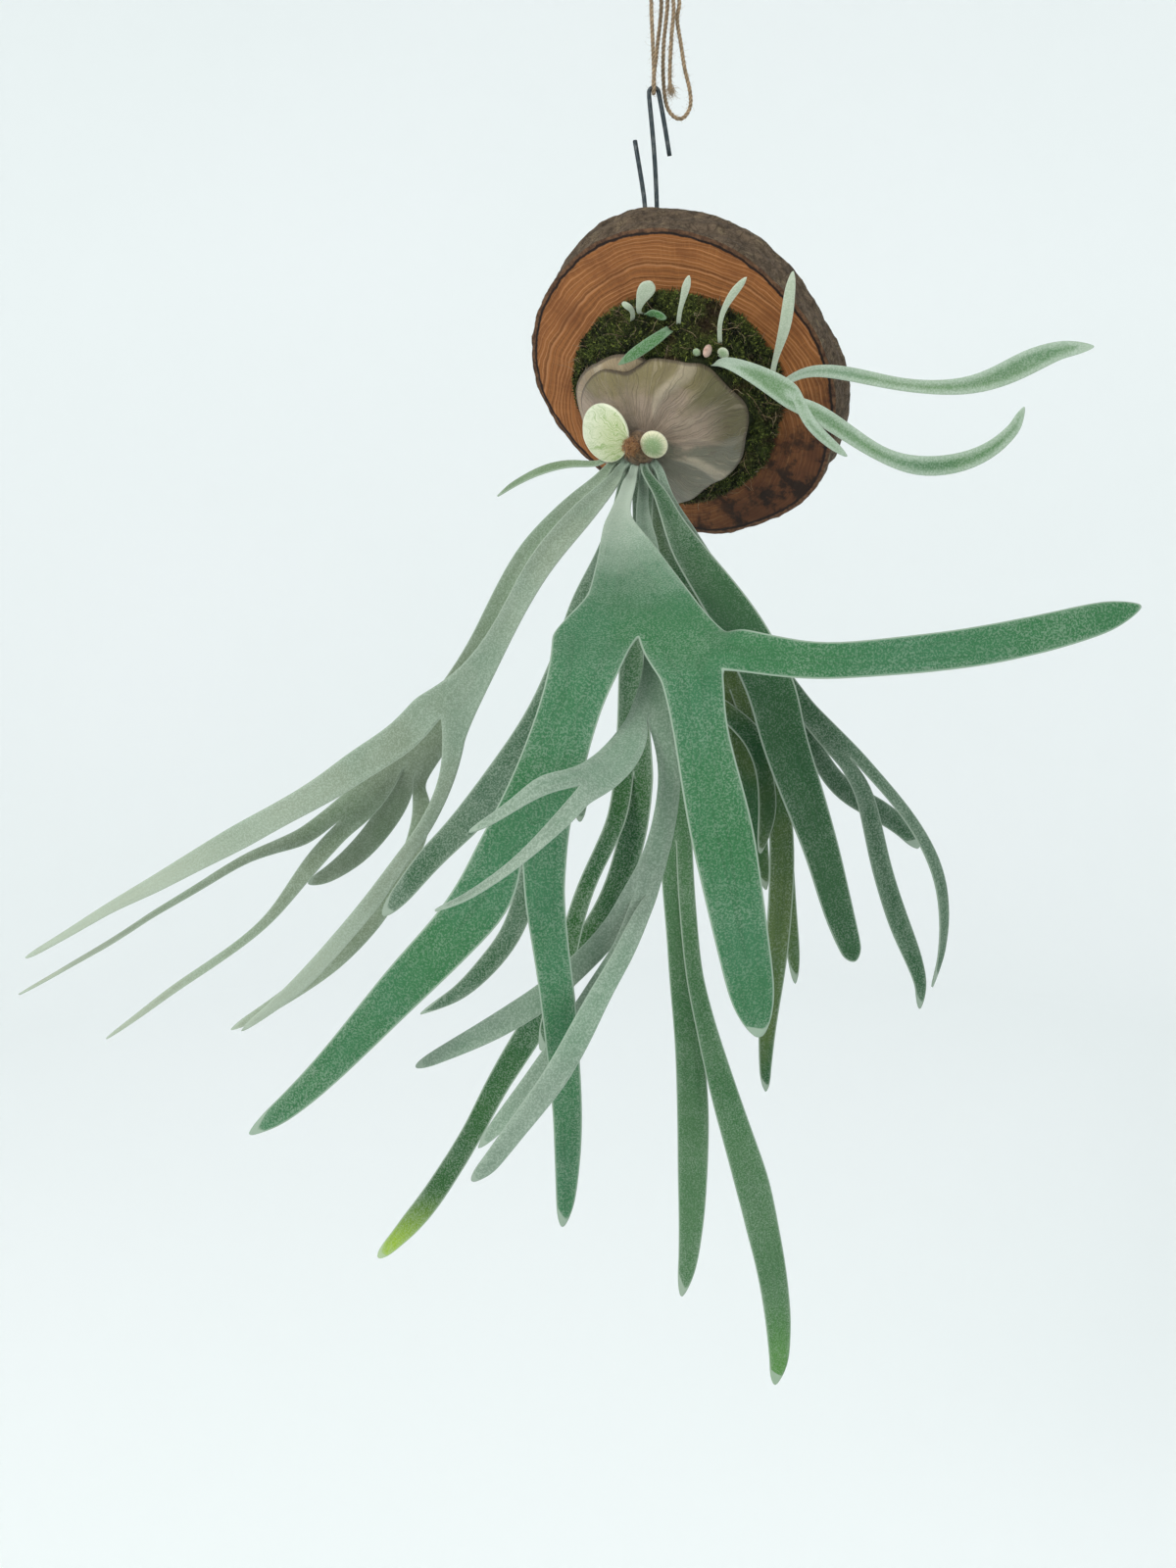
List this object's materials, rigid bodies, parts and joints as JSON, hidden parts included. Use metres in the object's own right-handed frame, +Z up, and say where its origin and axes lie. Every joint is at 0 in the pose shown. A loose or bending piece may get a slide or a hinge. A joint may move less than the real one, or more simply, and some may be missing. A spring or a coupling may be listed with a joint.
{
  "type": "mounted staghorn fern",
  "caption": "Staghorn fern on a round wood slice that hangs from a wire hook and twine, with forked fronds trailing below a papery shield.",
  "frame": {"origin": "underside of the wire hook's top bend, where the twine bears", "axes": "+Z up along the twine, +X to the right as the plant faces the viewer, +Y away from the viewer; the board leans 25 degrees forward and is turned 25 degrees to the left"},
  "size_m": [0.6237, 0.4262, 0.8933],
  "materials": {
    "wood_slice": "sawn end grain with rings, grey-brown bark round the edge",
    "moss": "damp, matt, near black with green specks",
    "old_shield": "papery, ribbed, olive to pinkish tan",
    "young_shield": "soft matt, pale yellow-green with green veins",
    "rhizome": "brown scales",
    "bud": "rusty fuzz",
    "frond": "matt blue-green with fine white felt",
    "pup_leaf": "matt, frosted grey-green",
    "dark_wire": "dark, slightly worn",
    "jute": "twisted, hairy natural fibre"
  },
  "bodies": {
    "root": {"board": "wood_slice", "moss_ball": "moss", "shield_old": "old_shield", "shield_under": "old_shield", "crown": "rhizome", "bud": "bud", "shield_oval": "young_shield", "shield_round": "young_shield", "frond_front": "frond", "frond_forward": "frond", "frond_left": "frond", "frond_left_back": "frond", "frond_right": "frond", "frond_right_back": "frond", "frond_back_right": "frond", "frond_back_left": "frond", "frond_long_left": "frond", "frond_long_right": "frond", "frond_young": "frond", "pup_left_round": "pup_leaf", "pup_left_spoon": "pup_leaf", "pup_left_short": "pup_leaf", "pup_left_upright": "pup_leaf", "pup_left_green": "pup_leaf", "pup_middle_upright": "pup_leaf", "pup_middle_frond": "pup_leaf", "pup_middle_stem": "pup_leaf", "pup_shield_left": "pup_leaf", "pup_shield_right": "pup_leaf", "pup_right_upright": "pup_leaf", "pup_right_frond": "pup_leaf", "hook": "dark_wire", "staple": "dark_wire", "twine_loop": "jute", "twine_slack": "jute", "twine_tail": "jute", "twine_knot": "jute"}
  },
  "joints": []
}
